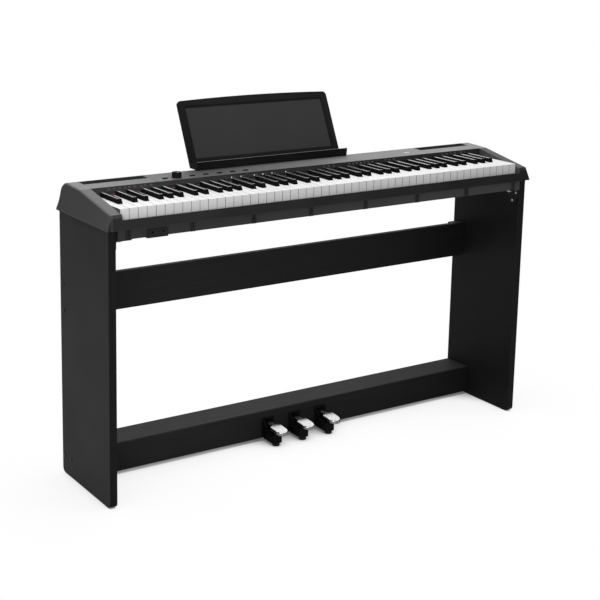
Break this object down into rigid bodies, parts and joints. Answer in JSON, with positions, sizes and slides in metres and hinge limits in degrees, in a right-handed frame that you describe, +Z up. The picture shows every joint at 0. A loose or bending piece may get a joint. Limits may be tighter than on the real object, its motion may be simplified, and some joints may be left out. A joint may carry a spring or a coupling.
{
  "type": "digital piano on stand",
  "caption": "Full-size digital piano slab with weighted keys, music rest and controls, screwed to a wooden stand with three pedals.",
  "frame": {"origin": "on the floor, under the middle of the whole object's box", "axes": "+X along the keyboard from bass to treble, +Y from the player to the back, +Z up"},
  "size_m": [1.302, 0.346, 0.9182],
  "materials": {
    "case_charcoal": "satin moulded",
    "case_black": "satin moulded",
    "music_rest_black": "satin moulded",
    "strip_gloss": "gloss",
    "control_black": "satin",
    "key_white": "gloss",
    "key_black": "satin",
    "felt_red": "felt",
    "frame_steel": "zinc",
    "bracket_black": "powder coat",
    "screw_steel": "satin",
    "spring_steel": "satin",
    "board_green": "solder mask",
    "part_black": "satin",
    "laminate_black": "black wood-grain laminate",
    "batten_wood": "painted",
    "glide_plastic": "plain",
    "foot_rubber": "matt",
    "pedal_chrome": "polished"
  },
  "bodies": {
    "piano": {"top_case": "case_charcoal", "control_panel": "case_charcoal", "bottom_case": "case_charcoal", "left_grille": "case_black", "right_grille": "case_black", "headphone_jacks": "case_black", "rear_jack_plate": "case_black", "pedal_bases": "case_black", "panel_strip": "strip_gloss", "felt_strips": "felt_red", "key_frame": "frame_steel", "pedal_chassis": "frame_steel", "slab_brackets": "bracket_black", "case_screws": "screw_steel", "stand_screws": "screw_steel", "bracket_screws": "screw_steel", "pedal_axle": "screw_steel", "left_pedal_spring": "spring_steel", "middle_pedal_spring": "spring_steel", "right_pedal_spring": "spring_steel", "key_contact_board": "board_green", "panel_board": "board_green", "main_board": "board_green", "pedal_sensor_board": "board_green", "volume_pot": "part_black", "left_speaker": "part_black", "right_speaker": "part_black", "left_side_panel": "laminate_black", "right_side_panel": "laminate_black", "rear_cross_board": "laminate_black", "pedal_box_top_board": "laminate_black", "pedal_box_front_board": "laminate_black", "pedal_box_rear_board": "laminate_black", "corner_battens": "batten_wood", "floor_glides": "glide_plastic", "pedal_feet": "foot_rubber"},
    "keys_c": {"keys_c": "key_white"},
    "keys_c_sharp": {"keys_c_sharp": "key_black"},
    "keys_d": {"keys_d": "key_white"},
    "keys_d_sharp": {"keys_d_sharp": "key_black"},
    "keys_e": {"keys_e": "key_white"},
    "keys_f": {"keys_f": "key_white"},
    "keys_f_sharp": {"keys_f_sharp": "key_black"},
    "keys_g": {"keys_g": "key_white"},
    "keys_g_sharp": {"keys_g_sharp": "key_black"},
    "keys_a": {"keys_a": "key_white"},
    "keys_a_sharp": {"keys_a_sharp": "key_black"},
    "keys_b": {"keys_b": "key_white"},
    "power_button": {"power_button": "control_black"},
    "metronome_button": {"metronome_button": "control_black"},
    "record_button": {"record_button": "control_black"},
    "play_button": {"play_button": "control_black"},
    "voice_button": {"voice_button": "control_black"},
    "function_button": {"function_button": "control_black"},
    "volume_knob": {"volume_knob": "control_black"},
    "music_rest": {"music_rest": "music_rest_black"},
    "left_pedal": {"left_pedal": "pedal_chrome"},
    "middle_pedal": {"middle_pedal": "pedal_chrome"},
    "right_pedal": {"right_pedal": "pedal_chrome"}
  },
  "joints": [
    {"name": "keys_c_press", "type": "hinge", "parent": "piano", "child": "keys_c", "pos_m": [0, 0.03198, 0.706], "axis": [1, 0, 0], "range_deg": [0, 3], "stiffness_Nm_per_rad": 6, "springref_deg": -14.32},
    {"name": "keys_c_sharp_press", "type": "hinge", "parent": "piano", "child": "keys_c_sharp", "pos_m": [0, 0.03198, 0.706], "axis": [1, 0, 0], "range_deg": [0, 3], "stiffness_Nm_per_rad": 4, "springref_deg": -14.32},
    {"name": "keys_d_press", "type": "hinge", "parent": "piano", "child": "keys_d", "pos_m": [0, 0.03198, 0.706], "axis": [1, 0, 0], "range_deg": [0, 3], "stiffness_Nm_per_rad": 6, "springref_deg": -14.32},
    {"name": "keys_d_sharp_press", "type": "hinge", "parent": "piano", "child": "keys_d_sharp", "pos_m": [0, 0.03198, 0.706], "axis": [1, 0, 0], "range_deg": [0, 3], "stiffness_Nm_per_rad": 4, "springref_deg": -14.32},
    {"name": "keys_e_press", "type": "hinge", "parent": "piano", "child": "keys_e", "pos_m": [0, 0.03198, 0.706], "axis": [1, 0, 0], "range_deg": [0, 3], "stiffness_Nm_per_rad": 6, "springref_deg": -14.32},
    {"name": "keys_f_press", "type": "hinge", "parent": "piano", "child": "keys_f", "pos_m": [0, 0.03198, 0.706], "axis": [1, 0, 0], "range_deg": [0, 3], "stiffness_Nm_per_rad": 6, "springref_deg": -14.32},
    {"name": "keys_f_sharp_press", "type": "hinge", "parent": "piano", "child": "keys_f_sharp", "pos_m": [0, 0.03198, 0.706], "axis": [1, 0, 0], "range_deg": [0, 3], "stiffness_Nm_per_rad": 4, "springref_deg": -14.32},
    {"name": "keys_g_press", "type": "hinge", "parent": "piano", "child": "keys_g", "pos_m": [0, 0.03198, 0.706], "axis": [1, 0, 0], "range_deg": [0, 3], "stiffness_Nm_per_rad": 6, "springref_deg": -14.32},
    {"name": "keys_g_sharp_press", "type": "hinge", "parent": "piano", "child": "keys_g_sharp", "pos_m": [0, 0.03198, 0.706], "axis": [1, 0, 0], "range_deg": [0, 3], "stiffness_Nm_per_rad": 4, "springref_deg": -14.32},
    {"name": "keys_a_press", "type": "hinge", "parent": "piano", "child": "keys_a", "pos_m": [0, 0.03198, 0.706], "axis": [1, 0, 0], "range_deg": [0, 3], "stiffness_Nm_per_rad": 6, "springref_deg": -14.32},
    {"name": "keys_a_sharp_press", "type": "hinge", "parent": "piano", "child": "keys_a_sharp", "pos_m": [0, 0.03198, 0.706], "axis": [1, 0, 0], "range_deg": [0, 3], "stiffness_Nm_per_rad": 4, "springref_deg": -14.32},
    {"name": "keys_b_press", "type": "hinge", "parent": "piano", "child": "keys_b", "pos_m": [0, 0.03198, 0.706], "axis": [1, 0, 0], "range_deg": [0, 3], "stiffness_Nm_per_rad": 6, "springref_deg": -14.32},
    {"name": "power_press", "type": "slide", "parent": "piano", "child": "power_button", "axis": [0, 0, -1], "range_m": [0, 0.0012], "stiffness_N_per_m": 400, "springref_m": -0.002},
    {"name": "metronome_press", "type": "slide", "parent": "piano", "child": "metronome_button", "axis": [0, 0, -1], "range_m": [0, 0.0012], "stiffness_N_per_m": 400, "springref_m": -0.002},
    {"name": "record_press", "type": "slide", "parent": "piano", "child": "record_button", "axis": [0, 0, -1], "range_m": [0, 0.0012], "stiffness_N_per_m": 400, "springref_m": -0.002},
    {"name": "play_press", "type": "slide", "parent": "piano", "child": "play_button", "axis": [0, 0, -1], "range_m": [0, 0.0012], "stiffness_N_per_m": 400, "springref_m": -0.002},
    {"name": "voice_press", "type": "slide", "parent": "piano", "child": "voice_button", "axis": [0, 0, -1], "range_m": [0, 0.0012], "stiffness_N_per_m": 400, "springref_m": -0.002},
    {"name": "function_press", "type": "slide", "parent": "piano", "child": "function_button", "axis": [0, 0, -1], "range_m": [0, 0.0012], "stiffness_N_per_m": 400, "springref_m": -0.002},
    {"name": "volume_turn", "type": "hinge", "parent": "piano", "child": "volume_knob", "pos_m": [-0.365, 0.01698, 0.75], "axis": [0, 0, 1], "range_deg": [-140, 140]},
    {"name": "music_rest_lift", "type": "slide", "parent": "piano", "child": "music_rest", "axis": [0, 0, 1], "range_m": [0, 0.03]},
    {"name": "left_pedal_press", "type": "hinge", "parent": "piano", "child": "left_pedal", "pos_m": [-0.086, 0.06698, 0.05], "axis": [1, 0, 0], "range_deg": [0, 5.5], "stiffness_Nm_per_rad": 20, "springref_deg": -6.88, "deforming": ["left_pedal_spring"]},
    {"name": "middle_pedal_press", "type": "hinge", "parent": "piano", "child": "middle_pedal", "pos_m": [0, 0.06698, 0.05], "axis": [1, 0, 0], "range_deg": [0, 5.5], "stiffness_Nm_per_rad": 20, "springref_deg": -6.88, "deforming": ["middle_pedal_spring"]},
    {"name": "right_pedal_press", "type": "hinge", "parent": "piano", "child": "right_pedal", "pos_m": [0.086, 0.06698, 0.05], "axis": [1, 0, 0], "range_deg": [0, 5.5], "stiffness_Nm_per_rad": 20, "springref_deg": -6.88, "deforming": ["right_pedal_spring"]}
  ]
}
